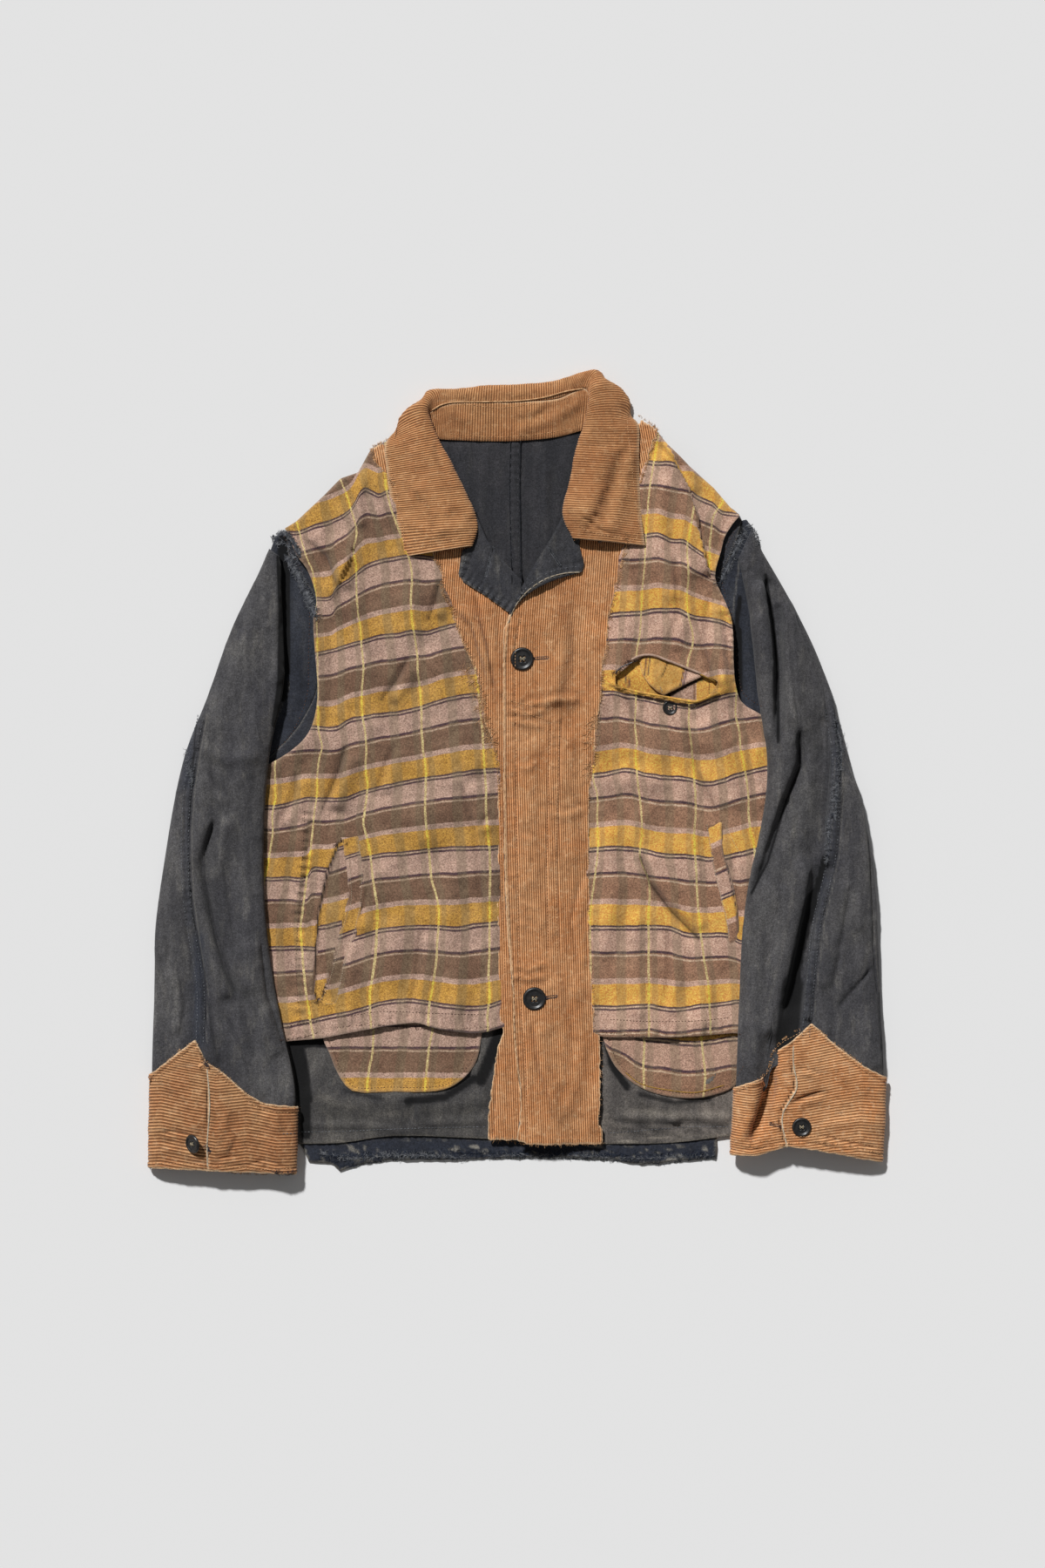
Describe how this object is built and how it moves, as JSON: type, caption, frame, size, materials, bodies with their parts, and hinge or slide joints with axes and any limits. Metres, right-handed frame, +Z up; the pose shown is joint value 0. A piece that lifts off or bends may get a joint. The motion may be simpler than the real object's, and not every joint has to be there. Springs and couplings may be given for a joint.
{
  "type": "patched boro jacket",
  "caption": "Work jacket laid flat: charcoal cloth under a patched-on plaid flannel front, with ribbed tan bands, collar and cuffs, worn and frayed.",
  "frame": {"origin": "under the middle of the jacket, on the surface that it lies on", "axes": "+Z up from the surface through the cloth, +Y from the hem to the collar, +X to the viewer's right as the front is seen"},
  "size_m": [0.7292, 0.7936, 0.0267],
  "materials": {
    "twill": "faded charcoal cotton twill, napped and frayed",
    "plaid": "brushed cotton flannel in a gold, brown and plum plaid",
    "corduroy": "tan corduroy, worn pale at its edges",
    "button": "dark four-hole buttons, softly shining"
  },
  "bodies": {
    "root": {"back": "twill", "front_left": "twill", "front_right": "twill", "under_sleeve_left": "twill", "under_sleeve_right": "twill", "vest_left": "plaid", "vest_right": "plaid", "band_left": "corduroy", "band_right": "corduroy", "lapel_left": "twill", "lapel_right": "twill", "shoulder_patch_left": "corduroy", "shoulder_patch_right": "corduroy", "pocket_bag_left": "plaid", "pocket_bag_right": "plaid", "welt_left": "plaid", "welt_right": "plaid", "chest_pocket_bag": "plaid", "chest_pocket_tab": "plaid", "sleeve_left": "twill", "sleeve_right": "twill", "cuff_left": "corduroy", "cuff_right": "corduroy", "collar_stand": "corduroy", "collar_fall": "corduroy", "button_front_top": "button", "button_front_low": "button", "button_chest": "button", "button_cuff_left": "button", "button_cuff_right": "button"}
  },
  "joints": []
}
